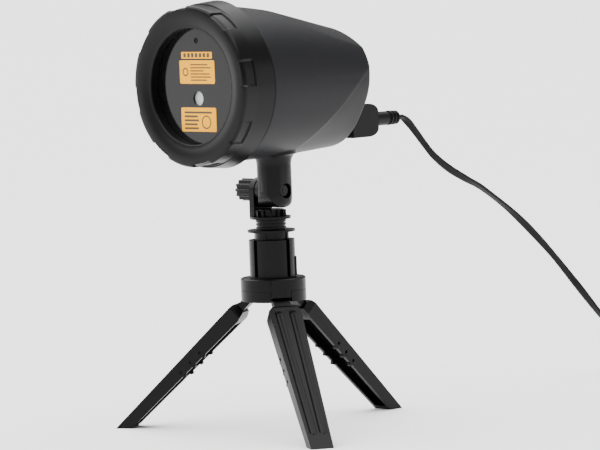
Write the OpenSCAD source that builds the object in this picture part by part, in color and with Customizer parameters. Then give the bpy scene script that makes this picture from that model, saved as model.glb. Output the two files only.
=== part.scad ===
// Light projector on a folding table tripod. The head faces -Y, +Z is up, and the floor is z = 0.

/* [Head] */
// Outside diameter of the bezel ring
bezel_d = 110; // [108:1:112]
// Depth of the bezel ring
bezel_depth = 13.9; // [13.5:0.1:15]
// Distance from the stem axis to the front of the bezel
bezel_front = 73.5; // [72:0.5:75]
// Height of the head's axis above the floor
head_z = 242; // [240:1:244]
// Distance from the stem axis to the back of the housing
housing_rear = 58; // [57:0.5:60]
// Wall thickness of the housing
housing_wall = 2.3; // [1.8:0.1:2.6]
// Across the flanks of the collar
collar_flank_d = 108; // [107:0.5:109]
// Height of the collar's lobes, above and below, over its flanks
collar_lobe = 3.6; // [2:0.1:4]
// Diameter of the light aperture in the face plate
aperture_d = 10; // [8:0.5:11]

/* [Neck and tilt joint] */
// Height of the tilt axis above the floor
pivot_z = 166; // [165:0.5:167]
// Diameter of the neck
neck_d = 24; // [22:0.5:25]
// Diameter of the pivot bolt
bolt_d = 4; // [3:0.5:5]
// Diameter of the tilt knob
knob_d = 16; // [14:0.5:18]
// Number of ribs around the knob
knob_ribs = 12; // [8:1:16]

/* [Stand] */
// Diameter of the hub
hub_d = 45.4; // [45:0.2:48]
// Height of the top of the hub
hub_top = 105.6; // [105:0.2:107]
// Diameter of the column
column_d = 32; // [31:0.5:34]
// Diameter of the stop disc above the column
disc_d = 33.2; // [32:0.2:36]
// Angle of an open leg from the vertical
leg_open = 46; // [45:0.5:47]
// Width of a leg at its top
leg_top_w = 23; // [20:0.5:23]
// Width of a leg at its foot
leg_foot_w = 16; // [14:0.5:18]

/* [Cord] */
// Width of the flat twin cord
cord_w = 5.5; // [5:0.5:6]
// Thickness of the flat twin cord
cord_t = 3; // [2.8:0.1:3.1]
// Radius of the middle turn of the coil
coil_r = 32; // [31:1:33]
// Turns in each layer of the coil
layer_turns = 2.875; // [1.875:1:2.875]
// Layers in the coil
coil_layers = 4; // [4:1:4]

/* [Hidden] */
$fn = 64;
gap = 0.05;
leg_angles = [90, 210, 330];
pin_r = 15;
pin_z = 93;
leg_outer = 4.5;
foot_half = 4;
foot_reach = pin_r + pin_z * tan(leg_open) + foot_half / cos(leg_open);
stem_y = (bezel_front - foot_reach) / 2;
bezel_r = bezel_d / 2;
bezel_back = bezel_front - bezel_depth;
plate_z = bezel_front - 9;
collar_back = 43.3;
collar_front = bezel_back - 0.3;
flange_back = 55;
throat_r = 39.6;
grips = 8;
aperture_y = -8.5;
sensor_y = 31;
collar_screw_r = 41.4;
lobe_half = 52;
neck_x = 5;
neck_r = neck_d / 2;
ear_in = -7.4;
ear_out = -12;
knob_in = -13;
knob_out = -27;
inlet = [16, -30];
plug_start = -62.2;
plug_end = -88;
relief_start = -101;
relief_end = -113;
spigot_r = 11.6;
spigot_low = 112;
disc_z = 137.3;
collar_low = 138.8;
screw_seat = 120;
skirt_t = 2.6;
flange_z = 146.3;
swivel_r = 5;
column_top = 131.9;
hub_r = hub_d / 2;
hub_low = 89.5;
hub_split = 97.2;
tab_w = 12;
layer_h = 3.2;
cord_x = inlet[0];
cord_exit_y = -relief_end;
cord_exit_z = head_z + inlet[1] - 2;
coil_pitch = 5.6;
coil_span = coil_pitch * layer_turns;
coil_in = coil_r - coil_span / 2;
coil_out = coil_r + coil_span / 2;
coil_at = [cord_x + coil_out, 455];
coil_h = layer_h * coil_layers;
// Route of the cord from the strain relief to the coil, seen from the stem axis: [x, y, z]
route = [
    [cord_x, 113, 210],
    [cord_x, 118, 210],
    [cord_x, 125, 205.5],
    [cord_x, 133, 197.5],
    [cord_x, 142, 188],
    [cord_x, 151, 179.5],
    [cord_x, 166, 169.5],
    [cord_x, 184, 160.5],
    [cord_x, 202, 152],
    [cord_x, 235, 131],
    [cord_x, 270, 103],
    [cord_x, 302, 73],
    [cord_x, 330, 46],
    [cord_x, 356, 24],
    [cord_x, 382, 9],
    [cord_x, 408, 2.6],
    [cord_x, 432, layer_h / 2],
    [cord_x, 455, layer_h / 2]
];
// Route of the tail from the coil to the plug-in adapter
tail_start = [coil_at[0] + coil_out, coil_at[1], coil_h - layer_h / 2];
tail = [
    tail_start,
    tail_start + [0, -16, -0.8],
    tail_start + [1, -30, -5.2],
    [tail_start[0] + 2, tail_start[1] - 44, 9],
    [tail_start[0] + 2, tail_start[1] - 56, 9]
];
adapter_at = [tail[4][0], tail[4][1], 0];
tube_sides = 10;

// Places its children about the stem axis.
module stem() {
    translate([0, stem_y, 0]) children();
}

// Head frame: origin where the head's axis crosses the stem axis, z forwards, y up.
module head() {
    stem() translate([0, 0, head_z]) rotate([90, 0, 0]) children();
}

module tube(r_out, r_in, z0, z1) {
    translate([0, 0, z0]) difference() {
        cylinder(r = r_out, h = z1 - z0, $fn = 96);
        translate([0, 0, -1]) cylinder(r = r_in, h = z1 - z0 + 2, $fn = 96);
    }
}

module rod(r, z0, z1) {
    translate([0, 0, z0]) cylinder(r = r, h = z1 - z0);
}

// A rod along X.
module rod_x(r, x0, x1) {
    translate([x0, 0, 0]) rotate([0, 90, 0]) cylinder(r = r, h = x1 - x0);
}

module rounded_plate(w, h, r, t) {
    linear_extrude(t) union() {
        square([w - 2 * r, h], center = true);
        square([w, h - 2 * r], center = true);
        for (sx = [-1, 1], sy = [-1, 1])
            translate([sx * (w / 2 - r), sy * (h / 2 - r)]) circle(r = r, $fn = 32);
    }
}

module screw(head_r, head_h, shank_r, shank_l) {
    translate([0, 0, -0.001]) cylinder(r = head_r, h = head_h);
    translate([0, 0, -shank_l]) cylinder(r = shank_r, h = shank_l + 0.5);
}

module bezel_ring() {
    color("#3f4042") head() difference() {
        rotate_extrude($fn = 128) polygon([
            [44.6, bezel_back],
            [bezel_r - 0.5, bezel_back],
            [bezel_r, bezel_back + 0.6],
            [bezel_r, bezel_front - 4],
            [bezel_r - 1.8, bezel_front - 1],
            [bezel_r - 4.5, bezel_front],
            [42, bezel_front - 0.5],
            [40.4, bezel_front - 1.1],
            [throat_r, bezel_front - 2.2],
            [throat_r, plate_z + 0.45],
            [44.6, plate_z + 0.45]
        ]);
        for (i = [0 : grips - 1])
            rotate([0, 0, 0.5 + 360 / grips * i]) rotate_extrude(angle = 19, $fn = 128)
                translate([bezel_r - 1.4, bezel_back - 1]) square([3, bezel_depth - 1.4]);
    }
}

module bezel_gasket() {
    color("#151515") head() tube(42.1, 40.8, plate_z, plate_z + 0.45);
}

module face_plate() {
    color("#58595b") head() difference() {
        translate([0, 0, plate_z - 2]) cylinder(r = 42.2, h = 2, $fn = 96);
        translate([0, aperture_y, plate_z - 3]) cylinder(d = aperture_d, h = 4);
        translate([0, sensor_y, plate_z - 3]) cylinder(r = 2, h = 4);
    }
}

module label_strip() {
    color("#f2c230") head() translate([0, 21, plate_z]) rounded_plate(30.5, 4.6, 0.8, 0.2);
}

module label_upper() {
    color("#f7cf38") head() translate([0, 9.6, plate_z]) rounded_plate(34.5, 16, 1.2, 0.2);
}

module label_lower() {
    color("#f7cf38") head() translate([0, -22.8, plate_z]) rounded_plate(34.5, 16.4, 1.2, 0.2);
}

module aperture_window() {
    color("#d8dde0", 0.5) head() translate([0, aperture_y, 0]) rod(5.8, plate_z - 3.6, plate_z - 2);
}

module window_retainer() {
    color("#3a3a3a") head() translate([0, aperture_y, 0]) difference() {
        rod(8.5, plate_z - 6, plate_z - 2);
        rod(5.85, plate_z - 3.6, plate_z);
        rod(4.6, plate_z - 7, plate_z - 3);
    }
}

module light_sensor() {
    color("#202022") head() translate([0, sensor_y, 0]) {
        rod(1.9, plate_z - 5, plate_z - 0.4);
        rod(3.2, plate_z - 6.5, plate_z - 4.5);
    }
}

// Smooth step from 0 to 1.
function ease(t) = t * t * (3 - 2 * t);

// Radius of the collar's outside at an angle from the +X side: lobes above and below that ease into the flanks.
function collar_edge(a) =
    let (off = abs(abs(a > 180 ? a - 360 : a) - 90))
    collar_flank_d / 2 + collar_lobe * (1 - ease(min(1, off / lobe_half)));

module front_collar() {
    color("#3a3b3d") head() difference() {
        union() {
            translate([0, 0, collar_back]) linear_extrude(collar_front - collar_back)
                polygon([for (a = [0 : 2.5 : 357.5]) collar_edge(a) * [cos(a), sin(a)]]);
            tube(44.3, 39.2, collar_front - 0.5, plate_z - 2.05);
        }
        translate([0, 0, collar_back - 1]) cylinder(r = 45, h = flange_back - collar_back + 1, $fn = 96);
        translate([0, 0, collar_back - 1]) cylinder(r = 39.2, h = 30, $fn = 96);
        for (a = leg_angles)
            rotate([0, 0, a]) translate([collar_screw_r, 0, 0]) {
                rod(1.6, flange_back - 1, collar_front + 5);
                rod(3, 58, plate_z);
            }
    }
}

module collar_screws() {
    color("#8a8a8a") head() for (a = leg_angles)
        rotate([0, 0, a]) translate([collar_screw_r, 0, 58]) screw(2.8, 1.8, 1.5, 14);
}

// Outer form of the housing, drawn inwards by inset: a slow taper cut by three flats that widen to the rear.
module housing_form(inset, over) {
    difference() {
        rotate_extrude($fn = 128) polygon([
            [0, -housing_rear - over],
            [46.5 - inset, -housing_rear - over],
            [46.5 - inset, -housing_rear],
            [49 - inset, -housing_rear + 2.5],
            [50.5 - inset, -20],
            [52.2 - inset, 20],
            [53.5 - inset, collar_back - 0.4],
            [53.5 - inset, collar_back - 0.4 + over],
            [0, collar_back - 0.4 + over]
        ]);
        housing_flat(90, 50 - inset, -5, 17.3);
        housing_flat(-30, 51.3 - inset, 5, 7.1);
        housing_flat(210, 51.3 - inset, 5, 7.1);
    }
}

// Space outside a flat that faces the given direction and leans in towards the rear.
module housing_flat(direction, distance, tip, lean) {
    rotate([0, 0, direction]) translate([distance, 0, tip]) rotate([0, lean, 0])
        translate([0, -70, -90]) cube([60, 140, 180]);
}

module housing() {
    color("#434446") head() difference() {
        union() {
            difference() {
                housing_form(0, 0);
                housing_form(housing_wall, 1);
            }
            tube(44.7, 42.3, 38, flange_back - 0.1);
            tube(52.2, 42.6, 38, collar_back - 1);
            for (a = leg_angles)
                rotate([0, 0, a]) translate([collar_screw_r, 0, 0]) rod(2.8, 34, flange_back - 0.6);
            intersection() {
                housing_form(0.9, 0);
                union() {
                    translate([-6, -56, -13]) cube([22, 9.5, 26]);
                    for (a = [30, 150, 270])
                        rotate([0, 0, a]) {
                            translate([37, 0, 0]) rod(3, -56.3, -46);
                            translate([37, -1.2, -56.3]) cube([12, 2.4, 10.3]);
                        }
                    for (sx = [-1, 1], z = [-38, 2])
                        translate([sx * 24, -36, z]) rotate([90, 0, 0]) cylinder(r = 2.6, h = 12);
                }
            }
        }
        for (a = leg_angles)
            rotate([0, 0, a]) translate([collar_screw_r, 0, 0]) rod(1.5 + gap, 40, flange_back + 1);
        for (a = [30, 150, 270])
            rotate([0, 0, a]) translate([37, 0, 0]) rod(1.5 + gap, -60, -48);
        for (z = [-6, 6])
            translate([neck_x, -44, z]) rotate([90, 0, 0]) cylinder(r = 1.5 + gap, h = 12);
        for (sx = [-1, 1], z = [-38, 2])
            translate([sx * 24, -35, z]) rotate([90, 0, 0]) cylinder(r = 1 + gap, h = 6);
    }
}

module back_cover() {
    color("#1f1f20") head() difference() {
        intersection() {
            translate([0, 0, -60.5]) cylinder(r = 43.7, h = 4.1, $fn = 96);
            translate([-60, -60, -70]) cube([120, 90.6, 40]);
            rotate([0, 0, -30]) translate([-60, -60, -70]) cube([100.7, 120, 40]);
            rotate([0, 0, 210]) translate([-60, -60, -70]) cube([100.7, 120, 40]);
        }
        translate([inlet[0], inlet[1], -61]) linear_extrude(6) square([10.2, 12.2], center = true);
        for (a = [30, 150, 270])
            rotate([0, 0, a]) translate([37, 0, 0]) {
                rod(1.6, -61, -55);
                rod(3, -61, -59);
            }
        for (i = [0 : 6])
            translate([-26, -12 + 4 * i, -61]) cube([18, 1.6, 6]);
    }
}

module cover_screws() {
    color("#8a8a8a") head() for (a = [30, 150, 270])
        rotate([0, 0, a]) translate([37, 0, -59]) mirror([0, 0, 1]) screw(2.8, 1.4, 1.5, 9.5);
}

module power_inlet() {
    color("#161616") head() translate([inlet[0], inlet[1], 0]) difference() {
        translate([0, 0, -61.5]) linear_extrude(16) square([10, 12], center = true);
        translate([0, 0, -62.5]) linear_extrude(12.5) square([7, 9], center = true);
        for (sy = [-1, 1])
            translate([0, sy * 2.3, 0]) rod(0.8 + gap, -51, -45);
    }
}

module inlet_pins() {
    color("#c9c9c9") head() for (sy = [-1, 1])
        translate([inlet[0], inlet[1] + sy * 2.3, 0]) rod(0.8, -59, -43);
}

module heat_sink() {
    color("#a9adb0") head() difference() {
        translate([-17, aperture_y - 12, 8]) cube([34, 24, 40]);
        for (i = [0 : 4])
            translate([-14.5 + 6 * i, aperture_y + 7, 7]) cube([3, 6, 42]);
        for (sx = [-1, 1])
            translate([sx * 8, aperture_y, 0]) rod(6.5 + gap, 7, 49);
    }
}

module laser_barrel(x) {
    head() translate([x, aperture_y, 0]) difference() {
        rod(6.5, 14, 54);
        rod(2.2, 46, 55);
    }
}

module laser_green() {
    color("#b08d4a") laser_barrel(-8);
}

module laser_red() {
    color("#b08d4a") laser_barrel(8);
}

module driver_board() {
    color("#1f6a3c") head() difference() {
        translate([-29, -36, -44]) cube([58, 1.6, 52]);
        for (sx = [-1, 1], z = [-38, 2])
            translate([sx * 24, -33, z]) rotate([90, 0, 0]) cylinder(r = 1.1, h = 4);
    }
}

module board_screws() {
    color("#9a9a9a") head() for (sx = [-1, 1], z = [-38, 2])
        translate([sx * 24, -34.4, z]) rotate([-90, 0, 0]) screw(2, 1.4, 1, 6);
}

module transformer() {
    color("#2c2c30") head() {
        translate([-9, -34.4, -30]) cube([18, 14, 17]);
        translate([-6, -34.4, -33]) cube([12, 11, 23]);
    }
}

module capacitor() {
    color("#26324f") head() translate([-19, -34.4, -8]) rotate([-90, 0, 0]) cylinder(r = 4, h = 12);
}

module inner_leads() {
    color("#7a2020") head() for (sy = [-1, 1]) {
        translate([inlet[0], inlet[1] + sy * 2.3, 0]) rod(0.7, -43, -38);
        translate([inlet[0], min(inlet[1] + sy * 2.3, -34.4 + 9), -38.7]) rotate([90, 0, 0])
            cylinder(r = 0.6, h = inlet[1] + sy * 2.3 + 34.4, $fn = 24);
    }
}

module neck() {
    color("#2a2a2b") stem() difference() {
        union() {
            difference() {
                translate([neck_x, 0, pivot_z]) cylinder(r = neck_r, h = 34, $fn = 96);
                translate([0, 0, head_z]) rotate([90, 0, 0]) housing_form(-0.08, 1);
            }
            intersection() {
                translate([neck_x, 0, pivot_z - 14]) cylinder(r = neck_r, h = 15, $fn = 96);
                translate([0, 0, pivot_z]) rod_x(neck_r - 0.2, neck_x - neck_r - 1, neck_x + neck_r + 1);
            }
            translate([0, 0, pivot_z]) rod_x(8.4, neck_x - neck_r, neck_x);
        }
        translate([0, 0, pivot_z]) rod_x(bolt_d / 2 + gap, -20, 20);
        translate([0, 0, pivot_z]) rod_x(5.2, 11, 20);
        for (y = [-6, 6])
            translate([neck_x, y, 0]) rod(1.5 + gap, 177, 200);
    }
}

module neck_screws() {
    color("#8a8a8a") stem() for (y = [-6, 6])
        translate([neck_x, y, head_z - 46.5]) screw(2.8, 1.8, 1.5, 17);
}

module pivot_nut() {
    color("#77797c") stem() translate([0, 0, pivot_z]) difference() {
        translate([11.05, 0, 0]) rotate([0, 90, 0]) rotate([0, 0, 30]) cylinder(r = 4.05, h = 3.2, $fn = 6);
        rod_x(bolt_d / 2 + gap, 10, 20);
    }
}

module knob() {
    color("#222223") stem() translate([0, 0, pivot_z]) difference() {
        union() {
            translate([knob_out, 0, 0]) rotate([90, 0, 90]) linear_extrude(knob_in - knob_out)
                polygon([for (a = [0 : 3 : 357])
                    (knob_d / 2 - 0.8 + 0.8 * cos(knob_ribs * a)) * [cos(a), sin(a)]]);
            rod_x(knob_d / 2 - 2.4, knob_in - 0.5, knob_in + 0.8);
        }
        rod_x(bolt_d / 2, knob_out + 3, knob_in + 2);
        rod_x(knob_d / 2 - 3.4, knob_out - 1, knob_out + 0.8);
    }
}

module pivot_bolt() {
    color("#8d8f92") stem() translate([0, 0, pivot_z]) rod_x(bolt_d / 2, knob_out + 3, 14.6);
}

module ear_bracket() {
    color("#262627") stem() difference() {
        union() {
            translate([0, 0, pivot_z]) rod_x(8.8, ear_out, ear_in);
            translate([ear_out, -8.8, flange_z]) cube([ear_in - ear_out, 17.6, pivot_z - flange_z]);
            rod(14, flange_z, flange_z + 1.8);
            rod(9, flange_z, 153);
            for (i = [0 : 11])
                rotate([0, 0, 15 + 30 * i]) translate([8, -0.7, flange_z]) cube([2.8, 1.4, 6.2]);
            rod(swivel_r, 120, flange_z + 1);
        }
        translate([0, 0, pivot_z]) rod_x(bolt_d / 2 + gap, -20, 0);
        rod(1.5 + gap, 119, 134);
    }
}

module friction_washer() {
    color("#101010") stem() translate([0, 0, pivot_z]) difference() {
        rod_x(7.5, ear_in, ear_in + 0.35);
        rod_x(bolt_d / 2 + gap, ear_in - 1, ear_in + 1);
    }
}

module swivel_screw() {
    color("#8a8a8a") stem() translate([0, 0, screw_seat]) mirror([0, 0, 1]) screw(6.6, 2.2, 1.5, 13);
}

module spigot() {
    color("#242425") stem() difference() {
        union() {
            rod(spigot_r, spigot_low, disc_z + 1);
            for (i = [0 : 3])
                rotate([0, 0, 90 * i + 22]) translate([10, -1.2, spigot_low])
                    cube([2.6, 2.4, disc_z - spigot_low + 0.5]);
            rod(disc_d / 2, disc_z, collar_low);
            rod(9.7, collar_low - 0.5, flange_z - 0.1);
            for (i = [0 : 2])
                rod(10.6, collar_low + 0.8 + 2.3 * i, collar_low + 2.1 + 2.3 * i);
        }
        rod(swivel_r + gap, 119, 150);
        rod(7.2, spigot_low - 1, screw_seat + gap);
    }
}

module column() {
    color("#1e1e1f") stem() difference() {
        rod(column_d / 2, hub_top, column_top);
        rod(spigot_r + 0.1, spigot_low - 0.1, column_top + 1);
        for (i = [0 : 3])
            rotate([0, 0, 90 * i + 22]) translate([9, -1.35, spigot_low - 0.1]) cube([3.8, 2.7, 30]);
        for (i = [0 : 3])
            rotate([0, 0, 90 * i]) translate([column_d / 2 - 2.6, -1.6, hub_top + 0.8]) cube([4, 3.2, 40]);
        rod(2 + gap, hub_top - 1, spigot_low + 1);
        rotate([0, 0, 45]) translate([column_d / 2 - 1.6, -3.1, hub_top + 0.8]) cube([4, 6.2, 13.2]);
    }
}

module latch_tab() {
    color("#1a1a1b") stem() intersection() {
        rotate([0, 0, 45]) translate([column_d / 2 - 1.55, -3, hub_top + 0.9]) cube([4, 6, 13]);
        rod(column_d / 2 + 1, hub_top, hub_top + 15);
    }
}

module hub_cap() {
    color("#232324") stem() difference() {
        union() {
            translate([0, 0, hub_split]) rotate_extrude($fn = 96) polygon([
                [0, 0],
                [hub_r, 0],
                [hub_r, hub_top - hub_split - 0.7],
                [hub_r - 0.7, hub_top - hub_split],
                [0, hub_top - hub_split]
            ]);
            for (a = leg_angles)
                intersection() {
                    tube(hub_r, hub_r - skirt_t, hub_low + 3.2, hub_split + 1);
                    rotate([0, 0, a]) translate([0, -7.2, hub_low]) cube([30, 14.4, 20]);
                }
        }
        rod(2 + gap, hub_split - 1, hub_top + 1);
        for (a = leg_angles)
            rotate([0, 0, a + 60]) translate([16, 0, 0]) rod(1.5 + gap, hub_split - 1, hub_split + 6);
    }
}

module centre_screw() {
    color("#8a8a8a") stem() translate([0, 0, hub_split]) mirror([0, 0, 1]) screw(4.6, 3.4, 2, 13.5);
}

module hub_base() {
    color("#202021") stem() difference() {
        rod(hub_r, hub_low, hub_split - 0.15);
        for (a = leg_angles)
            rotate([0, 0, a]) {
                translate([8, -6.5, hub_low - 1]) cube([30, 13, 12]);
                translate([hub_r - 4.8, -7.5, hub_low - 1]) cube([12, 15, 12]);
                translate([pin_r, 0, pin_z]) rotate([90, 0, 0]) translate([0, 0, -9])
                    cylinder(r = 1.5 + gap / 2, h = 18);
            }
        rod(5.2, hub_low - 1, hub_split + 1);
        for (a = leg_angles)
            rotate([0, 0, a + 60]) translate([16, 0, 0]) {
                rod(1.6, hub_low - 1, hub_split + 1);
                rod(3, hub_low - 1, hub_low + 2);
            }
    }
}

module hub_screws() {
    color("#8a8a8a") stem() for (a = leg_angles)
        rotate([0, 0, a + 60]) translate([16, 0, hub_low + 2]) mirror([0, 0, 1]) screw(2.8, 1.6, 1.5, 11);
}

module leg_pins() {
    color("#9a9a9a") stem() for (a = leg_angles)
        rotate([0, 0, a]) translate([pin_r, 0, pin_z]) rotate([90, 0, 0]) translate([0, 0, -8.9])
            cylinder(r = 1.5, h = 17.8);
}

// Half the leg's width at a distance down the leg from its pin.
function leg_half(s) = (leg_top_w + (leg_foot_w - leg_top_w) * (s - 12) / 120) / 2;

// One leg, hanging straight down from its pin at the origin: the outer face is +X.
module leg_shape() {
    difference() {
        union() {
            translate([0, tab_w / 2, 0]) rotate([90, 0, 0]) cylinder(r = 3.4, h = tab_w);
            rotate([0, leg_open, 0]) translate([0, -tab_w / 2, 0])
                cube([1.5, tab_w, hub_split - pin_z - 0.1]);
            translate([-3.2, -tab_w / 2, -17]) cube([5.6, tab_w, 17]);
            intersection() {
                rotate([0, 90, 0]) translate([0, 0, -10]) linear_extrude(20) polygon([
                    [12, leg_half(12) - 3.5],
                    [16, leg_half(16)],
                    [160, leg_half(160)],
                    [160, -leg_half(160)],
                    [16, -leg_half(16)],
                    [12, -leg_half(12) + 3.5]
                ]);
                rotate([90, 0, 0]) translate([0, 0, -20]) linear_extrude(40) polygon([
                    [-4.5, -12],
                    [leg_outer - 0.8, -12],
                    [leg_outer, -13.5],
                    [foot_half, -pin_z / cos(leg_open)],
                    [foot_half, -160],
                    [-foot_half, -160],
                    [-foot_half, -pin_z / cos(leg_open)],
                    [-6.5, -18]
                ]);
            }
            for (s = [54, 64, 74])
                translate([-5.6, leg_half(s), -s]) rotate([90, 0, 0])
                    cylinder(r = 1.3, h = 2 * leg_half(s), $fn = 24);
        }
        translate([0, tab_w, 0]) rotate([90, 0, 0]) cylinder(r = 1.5 + gap, h = 2 * tab_w);
        rotate([0, 90, 0]) translate([0, 0, -12]) linear_extrude(12.6) polygon([
            [22, leg_half(22) - 2.6],
            [126, leg_half(126) - 2.6],
            [126, -leg_half(126) + 2.6],
            [22, -leg_half(22) + 2.6]
        ]);
        for (side = [-1, 1])
            translate([leg_outer + 1.5, side * 5, -19]) rotate([-side * 0.9, 0.25, 0]) {
                sphere(r = 3.1, $fn = 48);
                mirror([0, 0, 1]) cylinder(r = 3.1, h = 104, $fn = 48);
                translate([0, 0, -104]) sphere(r = 3.1, $fn = 48);
            }
        for (s = [54, 64, 74], side = [-1, 1])
            translate([-2.2, side * (leg_half(s) + 0.6), -s]) rotate([side * 90, 0, 0])
                cylinder(r = 1.2, h = 1.6, $fn = 24);
    }
}

module leg(a) {
    color("#1d1d1e") stem() difference() {
        rotate([0, 0, a]) translate([pin_r, 0, pin_z]) rotate([0, -leg_open, 0]) leg_shape();
        translate([-200, -200, -60]) cube([400, 400, 60]);
    }
}

module leg_rear() {
    leg(leg_angles[0]);
}

module leg_left() {
    leg(leg_angles[1]);
}

module leg_right() {
    leg(leg_angles[2]);
}

module connector_body() {
    color("#39393b") head() translate([inlet[0], inlet[1] - 2, 0]) difference() {
        union() {
            rotate([0, -90, 0]) translate([0, 0, -6.5]) linear_extrude(13) polygon(concat(
                [[plug_start, -11.7]],
                [for (a = [-90 : 10 : 0]) [-78 - 10 * cos(a), -5.7 + 6 * sin(a)]],
                [for (a = [0 : 10 : 90]) [-78 - 10 * cos(a), 5.7 + 6 * sin(a)]],
                [[plug_start, 11.7]]
            ));
            rod(5, relief_start, plug_end + 3);
            translate([-3.3, -2.3, plug_start - 1]) cube([6.6, 8.6, 11]);
        }
        for (sy = [-1, 1])
            translate([0, 2 + sy * 2.3, 0]) rod(1.2, -63, -51);
    }
}

module connector_sleeves() {
    color("#b9975a") head() for (sy = [-1, 1])
        translate([inlet[0], inlet[1] + sy * 2.3, 0]) tube(1.15, 0.9, -62.5, -52);
}

module strain_relief() {
    color("#2b2b2c") head() translate([inlet[0], inlet[1] - 2, 0]) rotate_extrude($fn = 48) polygon([
        [0, relief_end],
        [3.2, relief_end],
        [4.9, relief_end + 1.2],
        [4.9, relief_end + 2.6],
        [4, relief_end + 2.9],
        [4, relief_end + 4.1],
        [5.1, relief_end + 4.4],
        [5.1, relief_end + 5.8],
        [4.1, relief_end + 6.1],
        [4.1, relief_end + 7.3],
        [5.2, relief_end + 7.6],
        [5.2, relief_end + 9],
        [4.2, relief_end + 9.3],
        [4.2, relief_end + 10.4],
        [5, relief_start],
        [0, relief_start]
    ]);
}

// Point of a smooth curve through a list of points, at u from 0 to the last index.
function at(p, i) = p[max(0, min(len(p) - 1, i))];
function blend(a, b, c, d, t) =
    0.5 * (2 * b + (c - a) * t + (2 * a - 5 * b + 4 * c - d) * t * t + (3 * b - a - 3 * c + d) * t * t * t);
function curve(p, u) = let (i = min(len(p) - 2, floor(u)))
    blend(at(p, i - 1), at(p, i), at(p, i + 1), at(p, i + 2), u - i);
function unit(v) = v / norm(v);

// A closed flat tube along a smooth curve through the points, with rings_per rings between two points.
// Its width lies along X and its ends are square to the curve.
module cord_tube(p, rings_per) {
    n = (len(p) - 1) * rings_per;
    last = len(p) - 1;
    c = [for (k = [0 : n]) curve(p, k / rings_per)];
    ahead = [for (k = [0 : n]) k == 0 ? p[1] - p[0] : k == n ? p[last] - p[last - 1] : c[k + 1] - c[k - 1]];
    thick = [for (k = [0 : n]) unit(cross(ahead[k], [1, 0.01, 0.02]))];
    points = [for (k = [0 : n], j = [0 : tube_sides - 1])
        let (wide = unit(cross(ahead[k], thick[k])), a = 360 * j / tube_sides)
            c[k] + cord_t / 2 * cos(a) * thick[k] + cord_w / 2 * sin(a) * wide];
    sides = [for (k = [0 : n - 1], j = [0 : tube_sides - 1])
        let (a = k * tube_sides, b = a + tube_sides, m = (j + 1) % tube_sides)
            [a + j, a + m, b + m, b + j]];
    start = [for (j = [0 : tube_sides - 1]) tube_sides - 1 - j];
    end = [for (j = [0 : tube_sides - 1]) n * tube_sides + j];
    polyhedron(points, concat([start], sides, [end]));
}

module cord_run() {
    color("#1c1c1c") stem() cord_tube(route, 3);
}

module cord_coil() {
    color("#1c1c1c") stem() translate([coil_at[0], coil_at[1], 0])
        tube(coil_out + cord_w / 2, coil_in - cord_w / 2, 0, coil_h);
}

module cord_tie() {
    inside = coil_span + cord_w + 0.2;
    color("#111111") stem() translate([coil_at[0], coil_at[1] + coil_r, 0]) difference() {
        translate([-3, -inside / 2 - 1.1, 0]) cube([6, inside + 2.2, coil_h + 1.2]);
        translate([-4, -inside / 2, -1]) cube([8, inside, coil_h + 1]);
    }
}

module cord_tail() {
    color("#1c1c1c") stem() cord_tube(tail, 3);
}

module adapter_body() {
    color("#202020") stem() translate([adapter_at[0], adapter_at[1], 0]) union() {
        translate([-17, -52, 0]) cube([34, 46, 26]);
        translate([0, 0, 9]) rotate([90, 0, 0]) cylinder(r = 4.5, h = 8);
    }
}

module adapter_pins() {
    color("#c9c9c9") stem() translate([adapter_at[0], adapter_at[1] - 52, 13]) for (sx = [-1, 1])
        translate([sx * 9.5, 0, 0]) rotate([90, 0, 0]) cylinder(r = 2, h = 19);
}

bezel_ring();
bezel_gasket();
face_plate();
label_strip();
label_upper();
label_lower();
aperture_window();
window_retainer();
light_sensor();
front_collar();
collar_screws();
housing();
back_cover();
cover_screws();
power_inlet();
inlet_pins();
heat_sink();
laser_green();
laser_red();
driver_board();
board_screws();
transformer();
capacitor();
inner_leads();
neck();
neck_screws();
pivot_nut();
knob();
pivot_bolt();
ear_bracket();
friction_washer();
swivel_screw();
spigot();
column();
latch_tab();
hub_cap();
centre_screw();
hub_base();
hub_screws();
leg_pins();
leg_rear();
leg_left();
leg_right();
connector_body();
connector_sleeves();
strain_relief();
cord_run();
cord_coil();
cord_tie();
cord_tail();
adapter_body();
adapter_pins();
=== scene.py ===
"""Looks of the light projector and its folding tripod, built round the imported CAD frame. All lengths are metres."""

import math

import bmesh
import bpy
import numpy as np
from mathutils import Matrix, Vector


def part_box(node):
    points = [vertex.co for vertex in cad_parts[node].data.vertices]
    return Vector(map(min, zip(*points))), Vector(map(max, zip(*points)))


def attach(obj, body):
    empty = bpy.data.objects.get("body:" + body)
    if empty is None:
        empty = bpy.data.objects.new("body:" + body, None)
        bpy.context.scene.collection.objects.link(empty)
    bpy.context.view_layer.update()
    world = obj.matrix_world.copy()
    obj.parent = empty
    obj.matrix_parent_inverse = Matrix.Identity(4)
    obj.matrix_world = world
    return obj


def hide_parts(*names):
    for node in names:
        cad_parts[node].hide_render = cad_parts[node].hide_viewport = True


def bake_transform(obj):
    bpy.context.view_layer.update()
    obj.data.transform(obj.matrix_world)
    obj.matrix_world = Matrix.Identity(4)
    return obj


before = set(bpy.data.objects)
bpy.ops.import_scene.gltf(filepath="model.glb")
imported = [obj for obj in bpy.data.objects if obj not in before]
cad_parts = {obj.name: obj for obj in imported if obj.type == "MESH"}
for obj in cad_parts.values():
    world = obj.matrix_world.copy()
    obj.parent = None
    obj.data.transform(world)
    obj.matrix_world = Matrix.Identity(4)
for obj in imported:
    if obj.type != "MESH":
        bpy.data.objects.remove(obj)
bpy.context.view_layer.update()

MM = 0.001
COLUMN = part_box("column")
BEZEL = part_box("bezel_ring")
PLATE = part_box("face_plate")
STEM_Y = (COLUMN[0].y + COLUMN[1].y) / 2
HEAD_Z = (BEZEL[0].z + BEZEL[1].z) / 2
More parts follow.
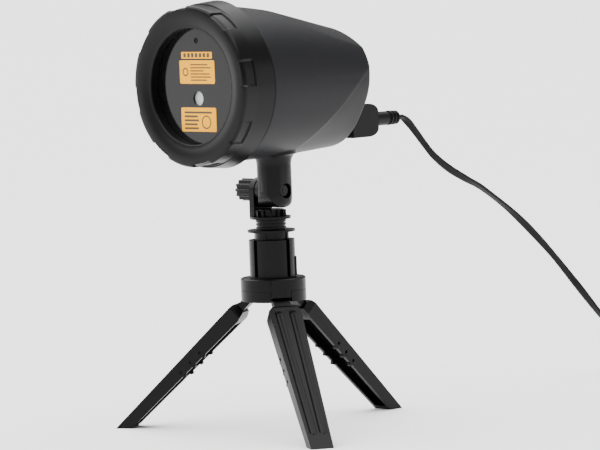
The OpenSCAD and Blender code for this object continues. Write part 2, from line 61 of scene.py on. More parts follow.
BEZEL_R = (BEZEL[1].z - BEZEL[0].z) / 2
BEZEL_FRONT = STEM_Y - BEZEL[0].y
BEZEL_BACK = STEM_Y - BEZEL[1].y
HOUSING_FRONT = STEM_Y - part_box("front_collar")[1].y - 0.0004
HOUSING_REAR = STEM_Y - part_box("housing")[1].y
PLATE_FRONT = STEM_Y - PLATE[0].y


# ---------------------------------------------------------------- camera

CAMERA_AZIMUTH = 45.8
CAMERA_DISTANCE = 2.445
CAMERA_HEIGHT = 0.342
CAMERA_PAN = -0.47
CAMERA_PITCH = 4.70
CAMERA_ROLL = -2.13
CAMERA_LENS = 211.7


def make_camera():
    """A long lens a little above the head, level with it from the front right, rolled by about two degrees."""
    azimuth, pan = math.radians(CAMERA_AZIMUTH), math.radians(CAMERA_PAN)
    pitch, roll = math.radians(CAMERA_PITCH), math.radians(CAMERA_ROLL)
    place = Vector((CAMERA_DISTANCE * math.sin(azimuth), STEM_Y - CAMERA_DISTANCE * math.cos(azimuth), CAMERA_HEIGHT))
    level = Vector((-math.sin(azimuth), math.cos(azimuth), 0))
    level = Matrix.Rotation(pan, 3, "Z") @ level
    right = level.cross(Vector((0, 0, 1)))
    ahead = level * math.cos(pitch) - Vector((0, 0, 1)) * math.sin(pitch)
    up = right.cross(ahead)
    turned_right = right * math.cos(roll) + up * math.sin(roll)
    turned_up = up * math.cos(roll) - right * math.sin(roll)
    data = bpy.data.cameras.new("camera")
    data.lens = CAMERA_LENS
    data.sensor_width = 36
    data.clip_end = 50
    camera = bpy.data.objects.new("camera", data)
    bpy.context.scene.collection.objects.link(camera)
    axes = Matrix((turned_right, turned_up, -ahead)).transposed()
    camera.matrix_world = Matrix.Translation(place) @ axes.to_4x4()
    bpy.context.scene.camera = camera


# ---------------------------------------------------------------- materials


def colour(code):
    """Linear RGBA of an sRGB hex code."""
    parts = [int(code[i : i + 2], 16) / 255 for i in (1, 3, 5)]
    return (*[p / 12.92 if p <= 0.04045 else ((p + 0.055) / 1.055) ** 2.4 for p in parts], 1)


def add(tree, kind, inputs=(), **settings):
    """A node with its settings and its inputs: each input is a value, or the output that it is linked from."""
    node = tree.nodes.new(kind)
    for name, value in settings.items():
        setattr(node, name, value)
    for key, value in dict(inputs).items():
        if isinstance(value, bpy.types.NodeSocket):
            tree.links.new(value, node.inputs[key])
        else:
            node.inputs[key].default_value = value
    return node


def finish_of(name, base, shade, roughness, spread, grain_mm, relief_mm, metallic=0.0, cloud_mm=18.0, **extra):
    """A finish: two close tones in soft clouds, roughness that wanders by spread, and a fine grain in relief."""
    made = bpy.data.materials.new(name)
    made.use_nodes = True
    tree = made.node_tree
    tree.nodes.clear()
    place = add(tree, "ShaderNodeTexCoord").outputs["Object"]
    cloud = add(tree, "ShaderNodeTexNoise", {"Vector": place, "Scale": 1 / (cloud_mm * MM), "Detail": 4.0})
    grain = add(tree, "ShaderNodeTexNoise", {"Vector": place, "Scale": 1 / (grain_mm * MM), "Detail": 2.0})
    tone = add(tree, "ShaderNodeMix", {0: cloud.outputs[0], 6: colour(base), 7: colour(shade)}, data_type="RGBA")
    rough = add(tree, "ShaderNodeMapRange", {0: grain.outputs[0], 3: roughness - spread, 4: roughness + spread})
    bump = add(tree, "ShaderNodeBump", {"Height": grain.outputs[0], "Distance": relief_mm * MM, "Strength": 1.0})
    shader = add(
        tree,
        "ShaderNodeBsdfPrincipled",
        {
            "Base Color": tone.outputs[2],
            "Roughness": rough.outputs[0],
            "Metallic": metallic,
            "Normal": bump.outputs[0],
            **extra,
        },
    )
    out = add(tree, "ShaderNodeOutputMaterial", {"Surface": shader.outputs[0]})
    out.is_active_output = True
    return made


# A dry moulded skin gives back less of the room than a polished one
SOFT = {"Specular IOR Level": 0.13}
POLISHED = {"Specular IOR Level": 0.3}
CLEAR = {"Transmission Weight": 0.35}


def make_materials():
    """One finish for each material of the object."""
    return {
        # Moulded ABS, spark-eroded mould: a dry charcoal with a fine even grain
        "housing": finish_of("moulded_abs_charcoal", "#1c1c1e", "#19191b", 0.46, 0.05, 0.5, 0.012, **SOFT),
        # Moulded ABS from a smoother mould: darker than the housing, with a smoother sheen
        "bezel": finish_of("moulded_abs_ring", "#0c0c0d", "#0a0a0b", 0.33, 0.05, 0.5, 0.006, **SOFT),
        # Moulded glass-filled nylon: near black, satin, with faint flow clouds
        "stand": finish_of("moulded_nylon_black", "#070708", "#050506", 0.34, 0.06, 0.7, 0.010, **SOFT),
        # Moulded polypropylene: flat black on the cover and the inlet
        "cover": finish_of("moulded_pp_black", "#09090a", "#070707", 0.50, 0.05, 0.6, 0.010, **SOFT),
        # Cast acrylic sheet with a polished face: near black, it mirrors the throat and the room
        "plate": finish_of("cast_acrylic_black", "#0b0b0c", "#09090a", 0.10, 0.02, 6.0, 0.001, **POLISHED),
        # Printed polyester film: warm yellow under a matt varnish
        "label": finish_of("polyester_film_yellow", "#f2a900", "#eca300", 0.50, 0.04, 2.0, 0.002, **SOFT),
        # Screen ink: dull brown black
        "ink": finish_of("screen_ink_brown", "#4a3714", "#3d2d10", 0.60, 0.05, 0.4, 0.001),
        # Painted shade: the dark inside of a vent slot, laid on as a flat near-black colour
        "shadow": finish_of("slot_shadow", "#020202", "#010101", 0.90, 0.02, 1.0, 0.0, **SOFT),
        # Silicone rubber: black, dull
        "rubber": finish_of("silicone_rubber_black", "#070707", "#060606", 0.80, 0.05, 0.5, 0.005, **SOFT),
        # Extruded PVC: black with a soft shine along the cord
        "cord": finish_of("extruded_pvc_black", "#0b0b0c", "#090909", 0.42, 0.05, 0.8, 0.006, **SOFT),
        # Moulded PVC over the plug: a little greyer than the cord
        "plug": finish_of("moulded_pvc_black", "#121213", "#0f0f10", 0.45, 0.05, 0.6, 0.008, **SOFT),
        # Optical acrylic: a pale window that lets some light in
        "window": finish_of("optical_acrylic_pale", "#d9dfe0", "#cfd6d8", 0.12, 0.02, 4.0, 0.001, **CLEAR),
        # Black oxide steel: the pivot nut and bolt, dark with a soft gleam
        "black_steel": finish_of("black_oxide_steel", "#2a2a2c", "#222224", 0.35, 0.06, 0.4, 0.003, metallic=1.0),
        # Zinc-plated steel: pale grey with fine turning marks
        "steel": finish_of("zinc_plated_steel", "#b9babb", "#a8a9ab", 0.34, 0.06, 0.4, 0.003, metallic=1.0),
        # Drawn brass: warm and slightly brushed
        "brass": finish_of("drawn_brass", "#c9a45c", "#b8924b", 0.30, 0.05, 0.4, 0.002, metallic=1.0),
        # Extruded aluminium, clear anodised
        "aluminium": finish_of("anodised_aluminium", "#c3c5c7", "#b5b7b9", 0.38, 0.05, 0.4, 0.003, metallic=1.0),
        # Glass-epoxy board under green solder mask
        "board": finish_of("solder_mask_green", "#1f6b3e", "#1a5c35", 0.35, 0.05, 1.0, 0.004),
        # Heat-shrunk sleeve
        "sleeve": finish_of("shrink_sleeve_blue", "#26355a", "#202d4d", 0.30, 0.04, 1.0, 0.002),
        # Extruded PVC insulation on the inner leads
        "lead": finish_of("insulation_red", "#8c2323", "#7a1e1e", 0.45, 0.05, 0.8, 0.003),
    }


NODE_FINISH = {
    "housing": ["housing"],
    "bezel": ["bezel_ring", "front_collar"],
    "plate": ["face_plate"],
    "label": ["label_strip", "label_upper", "label_lower"],
    "window": ["aperture_window"],
    "cover": ["back_cover", "power_inlet", "transformer", "window_retainer", "light_sensor"],
    "rubber": ["bezel_gasket", "friction_washer", "cord_tie"],
    "steel": [
        "collar_screws", "cover_screws", "board_screws", "neck_screws", "swivel_screw", "centre_screw",
        "hub_screws", "leg_pins", "adapter_pins",
    ],
    "black_steel": ["pivot_nut", "pivot_bolt"],
    "brass": ["inlet_pins", "laser_green", "laser_red", "connector_sleeves"],
    "aluminium": ["heat_sink"],
    "board": ["driver_board"],
    "sleeve": ["capacitor"],
    "lead": ["inner_leads"],
    "plug": ["connector_body", "strain_relief", "adapter_body"],
    "cord": ["cord_run", "cord_coil", "cord_tail"],
    "stand": [
        "neck", "knob", "ear_bracket", "spigot", "column", "latch_tab", "hub_cap", "hub_base",
        "leg_rear", "leg_left", "leg_right",
    ],
}


def dress_nodes(finishes):
    """Every CAD node gets the finish of what it is made of."""
    for finish, nodes in NODE_FINISH.items():
        for name in nodes:
            mesh_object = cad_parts[name]
            if not mesh_object.material_slots:
                mesh_object.data.materials.append(finishes[finish])
            for place in mesh_object.material_slots:
                place.material = finishes[finish]


# ---------------------------------------------------------------- mesh helpers


def ease(t):
    """Smooth step from 0 to 1."""
    t = np.clip(t, 0, 1)
    return t * t * (3 - 2 * t)


def link_mesh(name, points, faces, sharp_degrees=38):
    """A mesh object from points and faces, smooth but for its sharp edges, faces outwards."""
    data = bpy.data.meshes.new(name)
    data.from_pydata(points.reshape(-1, 3).tolist(), [], faces.tolist())
    made = bpy.data.objects.new(name, data)
    bpy.context.scene.collection.objects.link(made)
    data.polygons.foreach_set("use_smooth", np.ones(len(data.polygons), bool))
    data.set_sharp_from_angle(angle=math.radians(sharp_degrees))
    data.update()
    return made


def quads(rows, columns):
    """Faces of a grid of points that closes on itself both ways."""
    k = np.arange(rows)[:, None]
    j = np.arange(columns)[None, :]
    k1, j1 = (k + 1) % rows, (j + 1) % columns
    corners = [k * columns + j, k * columns + j1, k1 * columns + j1, k1 * columns + j]
    return np.stack(corners, -1).reshape(-1, 4)


def outwards(points, faces):
    """The faces of a closed shell, turned so that its volume is positive."""
    flat = points.reshape(-1, 3)
    a, b, c, d = (flat[faces[:, i]] for i in range(4))
    volume = np.einsum("ij,ij->i", a, np.cross(b, c)).sum() + np.einsum("ij,ij->i", a, np.cross(c, d)).sum()
    return faces if volume > 0 else faces[:, ::-1]


def turned(name, radius, forward, angles, sharp_degrees=38):
    """A closed ring about the head's axis. Row k of radius and forward is one line round the axis, at each angle."""
    x = radius * np.cos(angles)
    z = HEAD_Z + radius * np.sin(angles)
    y = STEM_Y - forward + 0 * radius
    points = np.stack([x, y, z], -1)
    faces = outwards(points, quads(*points.shape[:2]))
    return link_mesh(name, points, faces, sharp_degrees)


def set_piece(piece, body, finish, slot, *nodes):
    """The piece gets its finish, rides on its body and stands for its CAD nodes."""
    piece.data.materials.append(finish)
    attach(piece, body)
    if nodes:
        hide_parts(*nodes)
    return piece


def arc(centre_r, centre_w, radius, start, end, count):
    """Points of an arc in the head's profile, from one angle to another, in degrees: 0 outwards, 90 forwards."""
    a = np.radians(np.linspace(start, end, count))
    return np.stack([centre_r + radius * np.cos(a), centre_w + radius * np.sin(a)], -1)


def softened(name, node, width_mm, segments=2):
    """A copy of a CAD node with its sharp edges rounded by a bevel."""
    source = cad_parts[node]
    data = source.data.copy()
    data.materials.clear()
    work = bmesh.new()
    work.from_mesh(data)
    bmesh.ops.remove_doubles(work, verts=work.verts, dist=2e-6)
    bmesh.ops.dissolve_limit(
        work, angle_limit=math.radians(0.6), verts=work.verts, edges=work.edges, use_dissolve_boundaries=False
    )
    work.to_mesh(data)
    work.free()
    made = bpy.data.objects.new(name, data)
    bpy.context.scene.collection.objects.link(made)
    data.polygons.foreach_set("use_smooth", np.ones(len(data.polygons), bool))
    bevel = made.modifiers.new("rounded_edges", "BEVEL")
    bevel.width = width_mm * MM
    bevel.segments = segments
    bevel.limit_method = "ANGLE"
    bevel.angle_limit = math.radians(32)
    bevel.harden_normals = True
    bevel.use_clamp_overlap = True
    data.set_sharp_from_angle(angle=math.radians(30))
    return made


# ---------------------------------------------------------------- cord

CORD_W = 5.5 * MM
CORD_T = 3.0 * MM
CORD_X = 16
COIL_R = 32
COIL_PITCH = 5.6
LAYER_TURNS = 2.875
LAYERS = 4
LAYER_H = 3.2
COIL_SPAN = COIL_PITCH * LAYER_TURNS
COIL_OUT = COIL_R + COIL_SPAN / 2
COIL_Y = 455
FLOOR_Z = 1.6
POINTS_A_TURN = 48
TWIST_FROM, TWIST_UNTIL, TWIST_FADE, TWIST_STEP = 0.02, 0.30, 0.08, 0.026
# Route of the cord from the strain relief to the coil, in millimetres from the stem: (y, z)
ROUTE = [
    (113, 210), (118, 210), (125, 205.5), (133, 197.5), (142, 188), (151, 179.5), (166, 169.5), (184, 160.5),
    (202, 152), (235, 131), (270, 103), (302, 73), (330, 46), (356, 24), (382, 9), (408, 2.6), (432, 1.6), (455, 1.6),
]
# Route of the tail from the coil to the adapter: steps from where the coil ends, and heights above the floor
TAIL = [(0, -16, 10.4), (1, -30, 6), (2, -44, 9), (2, -56, 9)]


def smooth_curve(points, steps):
    """Catmull-Rom curve through the points, with steps points to each stretch."""
    p = np.array(points, float)
    p = np.vstack([p[:1], p, p[-1:]])
    t = np.arange(steps)[None, :, None] / steps
    a, b, c, d = (p[i : len(p) - 3 + i, None] for i in range(4))
    body = 0.5 * (2 * b + (c - a) * t + (2 * a - 5 * b + 4 * c - d) * t**2 + (3 * b - a - 3 * c + d) * t**3)
    return np.vstack([body.reshape(-1, 3), p[-1:]])


def coil_path():
    """Turns of the coil, clockwise from its left: each layer winds in or out, then climbs onto the next."""
    total = LAYERS * LAYER_TURNS
    turn = np.linspace(0, total, round(total * POINTS_A_TURN) + 1)
    layer = np.minimum(np.floor(turn / LAYER_TURNS), LAYERS - 1)
    part = turn / LAYER_TURNS - layer
    inwards = layer % 2 == 0
    radius = COIL_OUT - COIL_SPAN * np.where(inwards, part, 1 - part)
    climb = ease((part - 0.86) / 0.14) * (layer < LAYERS - 1)
    height = FLOOR_Z + LAYER_H * (layer + climb)
    angle = math.pi - 2 * math.pi * turn
    return np.stack([CORD_X + COIL_OUT + radius * np.cos(angle), COIL_Y + radius * np.sin(angle), height], -1)


def cord_path():
    """The whole centreline of the cord in metres, in the shared frame."""
    run = smooth_curve([(CORD_X, y, z) for y, z in ROUTE], 8)
    coil = coil_path()
    end = coil[-1]
    tail = smooth_curve([end] + [(end[0] + x, end[1] + y, z) for x, y, z in TAIL], 8)
    path = np.vstack([run[:-1], coil[:-1], tail]) * MM
    path[:, 1] += STEM_Y
    return path


def cord_section(count):
    """Outline of the twin cord across its width and thickness: two round cores and the groove between them."""
    a = np.linspace(0, 2 * math.pi, count, endpoint=False)
    across = CORD_W / 2 * np.sign(np.cos(a)) * np.abs(np.cos(a)) ** 0.85
    waist = 1 - 0.34 * np.exp(-((across / (0.17 * CORD_W)) ** 2))
    thick = CORD_T / 2 * np.sin(a) * waist
    return across, thick


def sweep(name, path, across, thick, twist):
    """A section carried along a path, capped at both ends. Its width lies level, turned about the path by twist."""
    ahead = np.gradient(path, axis=0)
    ahead /= np.linalg.norm(ahead, axis=1, keepdims=True)
    side = np.cross(ahead, [0, 0, 1])
    steep = np.linalg.norm(side, axis=1, keepdims=True)
    side = np.where(steep > 1e-6, side / np.maximum(steep, 1e-9), [1, 0, 0])
    up = np.cross(side, ahead)
    wide = side * np.cos(twist)[:, None] + up * np.sin(twist)[:, None]
    high = up * np.cos(twist)[:, None] - side * np.sin(twist)[:, None]
    points = path[:, None] + across[None, :, None] * wide[:, None] + thick[None, :, None] * high[:, None]
    rows, columns = points.shape[:2]
    faces = quads(rows, columns)[: (rows - 1) * columns]
    data = bpy.data.meshes.new(name)
    caps = [list(range(columns)), list(range(rows * columns - 1, (rows - 1) * columns - 1, -1))]
    data.from_pydata(points.reshape(-1, 3).tolist(), [], faces[:, ::-1].tolist() + caps)
    made = bpy.data.objects.new(name, data)
    bpy.context.scene.collection.objects.link(made)
    work = bmesh.new()
    work.from_mesh(data)
    bmesh.ops.recalc_face_normals(work, faces=work.faces)
    work.to_mesh(data)
    work.free()
    data.polygons.foreach_set("use_smooth", np.ones(len(data.polygons), bool))
    return made


def make_cord(finishes):
    """The flat twin mains cord: down from the head, along the floor into a neat coil, and on to the adapter."""
    path = cord_path()
    along = np.concatenate([[0], np.cumsum(np.linalg.norm(np.diff(path, axis=0), axis=1))])
    run = ease(along / TWIST_FROM) * (1 - ease((along - TWIST_UNTIL) / TWIST_FADE))
    twist = run * (0.9 + 0.75 * np.sin(along / TWIST_STEP))
    across, thick = cord_section(20)
    cord = sweep("mains_cord", path, across, thick, twist)
    cord.data.materials.append(finishes["cord"])
    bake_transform(cord)
    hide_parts("cord_run", "cord_coil", "cord_tail")
    adapter = softened("soft_adapter", "adapter_body", 2.5, 3)
    set_piece(adapter, "bracket", finishes["plug"], "plug_black", "adapter_body")


# ---------------------------------------------------------------- head

ROUND = 256
ANGLES = np.linspace(0, 2 * math.pi, ROUND, endpoint=False)[None, :]
WALL = 2.3 * MM
GRIPS = 8


def make_bezel(finishes):
    """The front ring: a closed profile of two rounds and a throat, pushed in at eight even grip recesses."""
    r, front, back = BEZEL_R, BEZEL_FRONT, BEZEL_BACK
    seat = PLATE_FRONT + 0.45 * MM
    bore, throat = 44.6 * MM, 39.6 * MM
    outer = np.stack([np.full(26, r), np.linspace(back + 0.5 * MM, front - 2.6 * MM, 26)], -1)
    face = np.linspace(0, 1, 10)[1:, None]
    profile = np.vstack([
        [[bore, back], [r - 0.6 * MM, back]],
        outer,
        arc(r - 2.2 * MM, front - 2.4 * MM, 2.2 * MM, 5, 78, 8),
        [[r - 3.4 * MM, front - 0.25 * MM]] + face * [[throat + 2.2 * MM - r + 3.4 * MM, -1.4 * MM]]
        + 0.55 * MM * np.sin(math.pi * face) * [[0, 1]],
        arc(throat + 0.9 * MM, front - 2.7 * MM, 0.9 * MM, 80, 178, 8),
        [[throat, front - 4 * MM], [throat, seat], [bore, seat]],
    ])
    radius = profile[:, :1] + 0 * ANGLES
    turn = np.degrees(ANGLES) - 10
    off = np.abs((turn + 180 / GRIPS) % (360 / GRIPS) - 180 / GRIPS)
    around = 1 - ease((off - 8.6) / 1.4)
    along = ease((profile[:, 1:] - back - 1.6 * MM) / (0.9 * MM))
    runout = 1.2 * MM * ease((profile[:, 1:] - front + 4 * MM) / (4 * MM))
    floor = r + (1 - around * along) * 6 * MM - 1.0 * MM - runout * around
    radius = np.minimum(radius, floor)
    ring = turned("front_ring", radius, profile[:, 1:], ANGLES, 32)
    return set_piece(ring, "head", finishes["bezel"], "bezel_charcoal", "bezel_ring")


FLANK_R = 54.0 * MM
LOBE = 3.6 * MM
LOBE_HALF = 52


def make_collar(finishes):
    """The collar behind the ring: lobes above and below that ease into its flanks, a little wider to the rear, with a
    small round on both edges."""
    low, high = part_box("front_collar")
    back, front, bore = STEM_Y - high.y, BEZEL_BACK - 0.3 * MM, 45 * MM
    off = np.degrees(np.abs(np.abs((ANGLES + math.pi) % (2 * math.pi) - math.pi) - math.pi / 2))
    lobe = 1 - ease(off / LOBE_HALF)
    width = np.linspace(back, front, 30)[:, None]
    wide = (front - width) / (front - back)
    edge = FLANK_R - 0.5 * MM * (1 - wide) + lobe * (LOBE - 0.9 * MM * (1 - wide))
    lip = 0.6 * MM
    ends = np.minimum(width - back, front - width) / lip
    inset = lip * (1 - np.sqrt(1 - (1 - np.clip(ends, 0, 1)) ** 2))
    radius = np.vstack([edge - inset, bore + 0 * ANGLES, bore + 0 * ANGLES])
    forward = np.vstack([width, [[front]], [[back]]])
    collar = turned("lobed_collar", radius, forward, ANGLES, 40)
    return set_piece(collar, "head", finishes["bezel"], "housing_charcoal", "front_collar")


def soft_min(a, b, blend):
    """The smaller of two lengths, rounded where they cross."""
    h = np.clip(0.5 + 0.5 * (b - a) / blend, 0, 1)
    return b + (a - b) * h - blend * h * (1 - h)


def housing_radius(forward, inset=0.0):
    """Outside of the housing: a round front that tapers to a shield-shaped rear, a crowned flat on top that leans in
    towards the rear, and below it two fields that fall away behind a crease running from the rear corner down to the
    neck."""
    back = (HOUSING_FRONT - forward) / (HOUSING_FRONT - HOUSING_REAR)
    rise = np.sin(ANGLES)
    rear = np.where(rise > 0, 46.5 - 9 * rise**2, 46.5 - 5 * rise)
    base = 53.5 + (rear - 53.5) * np.clip(back, 0, 1) ** 1.45
    rear_gap = (forward - HOUSING_REAR) / MM
    top = 34.6 + 0.24 * rear_gap
    crown, level = 0.009, np.maximum(np.cos(ANGLES) ** 2, 1e-4)
    flat = (np.sqrt(rise**2 + 4 * crown * top * level) - rise) / (2 * crown * level)
    flat = np.where(rise > 0.05, flat, 200)
    degrees = np.degrees((ANGLES + math.pi) % (2 * math.pi) - math.pi)
    folded = np.where(np.abs(degrees) > 90, np.sign(degrees) * 180 - degrees, degrees)
    from_tip = folded + 60
    crease = np.where(from_tip > 0, -5 - 43 * (np.abs(from_tip) / 60) ** 1.5, -5 - 11 * (from_tip / 30) ** 2)
    slope = 0.035 + 0.085 * np.exp(-(((folded + 28) / 28) ** 2))
    behind = crease - forward / MM
    fall = slope * 0.5 * (behind + np.sqrt(behind**2 + 0.02)) + 0.25 * ease(behind / 0.9)
    fall = np.where(folded < 25, fall, 0)
    return soft_min(base - fall, flat, 0.3) * MM - inset


def cover_outline():
    """Edge of the back cover: the housing's rear edge, 2.6 mm in."""
    return housing_radius(HOUSING_REAR, 2.6 * MM)


def bars(name, boxes, front_y, thick):
    """Flat bars of print or of painted shade, each a thin closed box: x from, x to, z from, z to."""
    b = np.array(boxes, float) * MM
    x = b[:, [0, 1, 1, 0, 0, 1, 1, 0]]
    z = HEAD_Z + b[:, [2, 2, 3, 3, 2, 2, 3, 3]]
    y = np.repeat([[front_y] * 4 + [front_y - thick] * 4], len(b), 0)
    points = np.stack([x, y, z], -1)
    sides = np.array([[0, 1, 2, 3], [7, 6, 5, 4], [0, 4, 5, 1], [1, 5, 6, 2], [2, 6, 7, 3], [3, 7, 4, 0]])
    faces = (np.arange(len(b))[:, None, None] * 8 + sides).reshape(-1, 4)
    return link_mesh(name, points, outwards(points, faces))


COVER_PROUD = 2.2 * MM
FILM = 0.06 * MM
# Painted shade: near-black bars where the vent slots' dark insides show, each x from, x to, z from, z to
VENT_SHADE_BARS = [(-26, -8, -12 + 4 * i, -10.4 + 4 * i) for i in range(7)]


def make_cover(finishes):
    """The back cover: a pressed pan drawn out to the housing's edge, whose rim turns over in a quarter round. Seven
    flat near-black bars beside the inlet are painted shade, standing in for the dark insides of the vent slots."""
    edge, rear, turn_r = cover_outline(), HOUSING_REAR, 1.2 * MM
    rows = [(rear + 3 * MM, edge * 0.02), (rear + 3 * MM, edge - 0.5 * MM), (rear - 0.9 * MM, edge - 0.1 * MM)]
    for t in np.radians(np.linspace(0, 90, 7)):
        rows.append((rear - COVER_PROUD + turn_r * (1 - math.sin(t)), edge - 0.1 * MM - turn_r * (1 - math.cos(t))))
    rows += [(rear - COVER_PROUD, edge * share) for share in (0.85, 0.5, 0.02)]
    radius = np.vstack([r for _, r in rows])
    forward = np.array([[w] for w, _ in rows])
    cover = turned("rear_cover", radius, forward, ANGLES, 28)
    set_piece(cover, "head", finishes["cover"], "cover_black", "back_cover")
    # Painted shade: flat near-black bars laid on the cover in place of the shaded vent slots
    slots = bars("painted_slot_shade", VENT_SHADE_BARS, STEM_Y - rear + COVER_PROUD, -FILM)
    set_piece(slots, "head", finishes["shadow"], "cover_black")


def make_housing(finishes):
    """The shell, as one closed wall: outside, bevelled rear rim, rim face down to the cover, and the inside back."""
    front, rear = HOUSING_FRONT, HOUSING_REAR
    lines = np.linspace(front - 1.0 * MM, rear + 3.2 * MM, 150)
    bevel = np.linspace(0, 1, 7)[1:, None]
    lead_in = ((0, 1.1), (0.15, 0.45), (0.5, 0.1))
    rows = [(front - lip * MM, housing_radius(front, inset * MM)) for lip, inset in lead_in]
    rows += [(w, housing_radius(w)) for w in lines]
    rows += [(rear + 3.2 * MM * (1 - t[0]), housing_radius(rear, 0) * t + housing_radius(rear + 3.2 * MM) * (1 - t)
              - 2.2 * MM * (1 - np.sqrt(1 - t**2 * 0.96)))
             for t in bevel]
    rows += [(rear, cover_outline() + 0.2 * MM), (rear + 4.4 * MM, cover_outline() + 0.2 * MM)]
    rows += [(w, housing_radius(w, WALL)) for w in np.linspace(rear + 4.6 * MM, front, 24)]
    radius = np.vstack([r for _, r in rows])
    forward = np.array([[w] for w, _ in rows])
    shell = turned("housing_shell", radius, forward, ANGLES, 28)
    return set_piece(shell, "head", finishes["housing"], "housing_charcoal", "housing")


def make_saddle(finishes):
    """The flare where the neck meets the housing: a quarter round about the neck's axis, closed inside the neck."""
    low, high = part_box("neck")
    centre_x, neck_r = (low.x + high.x) / 2, (high.x - low.x) / 2
    top = HEAD_Z - 50.5 * MM
    a = np.radians(np.linspace(0, 90, 12))
    flare = 4.2 * MM
    r = np.concatenate([neck_r + flare * (1 - np.cos(a)), [neck_r + flare, neck_r - 3 * MM, neck_r - 3 * MM]])
    drop = flare * 1.9
    z = np.concatenate([top - drop + drop * np.sin(a), [top + 3 * MM, top + 3 * MM, top - drop]])
    t = ANGLES[:, ::4]
    points = np.stack([centre_x + r[:, None] * np.cos(t), STEM_Y + r[:, None] * np.sin(t), z[:, None] + 0 * t], -1)
    saddle = link_mesh("neck_flare", points, outwards(points, quads(*points.shape[:2])))
    return set_piece(saddle, "head", finishes["stand"], "stand_black")


def make_print(finishes):
    """Plain ruled bars and two rings in place of the printing on the yellow films."""
    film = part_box("label_upper")[0].y
    boxes = []
    for i, length in enumerate((17, 20, 13, 19, 20, 16)):
        boxes.append((-6.5, -6.5 + length, 14.2 - 2.1 * i, 15.0 - 2.1 * i))
    for i, length in enumerate((27, 13, 14, 12.5, 13.5)):
        boxes.append((-14, -14 + length, -18.6 - 2.7 * i, -17.3 - 2.7 * i))
    printed = bars("label_rules", boxes, film, FILM)
    set_piece(printed, "head", finishes["ink"], "stand_black")
    strip = [(x, x + 2.4, 19.6, 22.4) for x in np.arange(-13, 11.5, 3.85)]
    set_piece(bars("strip_rules", strip, film, FILM), "head", finishes["ink"], "stand_black")
    for name, x, z, r in (("upper_ring", -11.5, 9.6, 2.4), ("lower_ring", 7.5, -24.5, 4.2)):
        t = ANGLES[:, ::4]
        rows = np.array([[r - 0.45], [r + 0.45], [r + 0.45], [r - 0.45]]) * MM
        depth = np.array([[0], [0], [1], [1]]) * FILM
        points = np.stack([x * MM + rows * np.cos(t), film - depth + 0 * t, HEAD_Z + z * MM + rows * np.sin(t)], -1)
        ring = link_mesh(name, points, outwards(points, quads(*points.shape[:2])))
        set_piece(ring, "head", finishes["ink"], "stand_black")


# ---------------------------------------------------------------- stand

SOFT_EDGES = [
    ("soft_knob", "knob", "knob", 0.35), ("soft_ear", "ear_bracket", "bracket", 0.4),
    ("soft_spigot", "spigot", "stand", 0.3), ("soft_column", "column", "stand", 0.5),
    ("soft_cap", "hub_cap", "stand", 0.4), ("soft_base", "hub_base", "stand", 0.4),
    ("soft_leg_rear", "leg_rear", "leg_rear", 0.45), ("soft_leg_left", "leg_left", "leg_left", 0.45),
    ("soft_leg_right", "leg_right", "leg_right", 0.45),
]


def make_neck(finishes):
    """The neck, a copy of its CAD shape cut across near its end, where each ring of points draws in along a quarter
    round: the further down, the further in, but never on the flat that faces the ear."""
    low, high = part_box("neck")
    centre_x = (low.x + high.x) / 2
    neck = softened("soft_neck", "neck", 0.5)
    work = bmesh.new()
    work.from_mesh(neck.data)
    reach, draw = 9 * MM, 5 * MM
    for level in np.linspace(0.08, 1, 9):
        parts = work.verts[:] + work.edges[:] + work.faces[:]
        bmesh.ops.bisect_plane(
            work, geom=parts, plane_co=(0, 0, low.z + reach * level), plane_no=(0, 0, 1), dist=1e-7
        )
    for point in work.verts:
        t = min(1.0, max(0.0, 1 - (point.co.z - low.z) / reach))
        inward = draw * (1 - math.sqrt(1 - min(0.999, t) ** 2)) if t > 0 else 0
        across = max(0.0, point.co.x - centre_x) / (high.x - centre_x)
        point.co.x -= inward * across
    work.to_mesh(neck.data)
    work.free()
    set_piece(neck, "head", finishes["stand"], "stand_black", "neck")


def make_stand(finishes):
    """The moulded pieces of the stand, with the small rounds that a mould leaves on every edge."""
    for name, node, body, width in SOFT_EDGES:
        set_piece(softened(name, node, width), body, finishes["stand"], "stand_black", node)
    connector = softened("soft_connector", "connector_body", 1.2, 3)
    set_piece(connector, "head", finishes["plug"], "plug_black", "connector_body")


# ---------------------------------------------------------------- floor and light


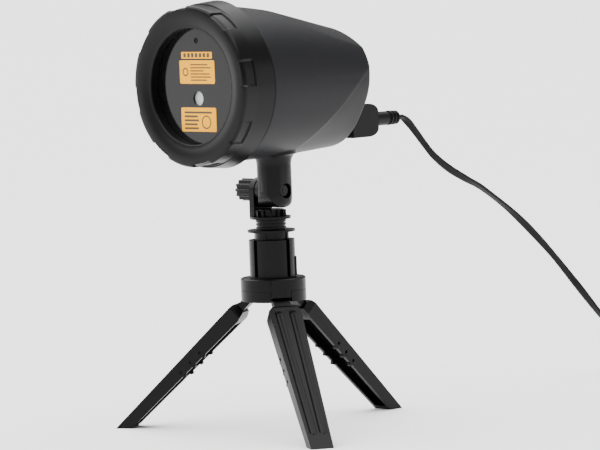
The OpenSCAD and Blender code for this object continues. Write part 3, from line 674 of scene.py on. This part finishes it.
FLOOR_HALF = 25
SURROUND_LIGHT, SURROUND_SEEN = 0.30, 3.4
OVERHEAD_POWER, OVERHEAD_SPREAD = 9.5, 110


def area_light(name, place, target, size, power, tint="#ffffff"):
    """A soft square light at a place, facing a target."""
    data = bpy.data.lights.new(name, "AREA")
    data.size = size
    data.energy = power
    data.color = colour(tint)[:3]
    light = bpy.data.objects.new(name, data)
    bpy.context.scene.collection.objects.link(light)
    light.location = place
    light.rotation_mode = "QUATERNION"
    light.rotation_quaternion = (Vector(target) - Vector(place)).to_track_quat("-Z", "Y")


def make_room():
    """A pale floor, a bright even surround, and large soft lights above and on both sides."""
    grid = FLOOR_HALF * np.array([[-1, -1, 0], [1, -1, 0], [1, 1, 0], [-1, 1, 0]], float)
    floor = link_mesh("floor", grid, np.array([[0, 1, 2, 3]]))
    floor.data.materials.append(finish_of("pale_floor", "#f4f4f4", "#f1f1f1", 0.8, 0.02, 5, 0.0, cloud_mm=400))
    world = bpy.data.worlds.new("surround")
    world.use_nodes = True
    tree = world.node_tree
    seen = add(tree, "ShaderNodeLightPath").outputs["Is Camera Ray"]
    strength = add(tree, "ShaderNodeMapRange", {0: seen, 3: SURROUND_LIGHT, 4: SURROUND_SEEN})
    surround = tree.nodes["Background"]
    surround.inputs[0].default_value = colour("#ffffff")
    tree.links.new(strength.outputs[0], surround.inputs[1])
    bpy.context.scene.world = world
    above = bpy.data.lights.new("overhead", "SUN")
    above.energy = OVERHEAD_POWER
    above.angle = math.radians(OVERHEAD_SPREAD)
    overhead = bpy.data.objects.new("overhead", above)
    bpy.context.scene.collection.objects.link(overhead)
    overhead.rotation_euler = (math.radians(8), math.radians(-14), 0)
    middle = (0, STEM_Y, HEAD_Z)
    area_light("side_left", (-1.5, -0.7, 0.5), middle, 0.7, 5)
    area_light("side_right", (1.4, 0.9, 0.6), middle, 0.6, 3)


make_camera()
finishes = make_materials()
make_cord(finishes)
dress_nodes(finishes)
make_bezel(finishes)
make_collar(finishes)
make_housing(finishes)
make_cover(finishes)
make_saddle(finishes)
make_print(finishes)
make_neck(finishes)
make_stand(finishes)
make_room()
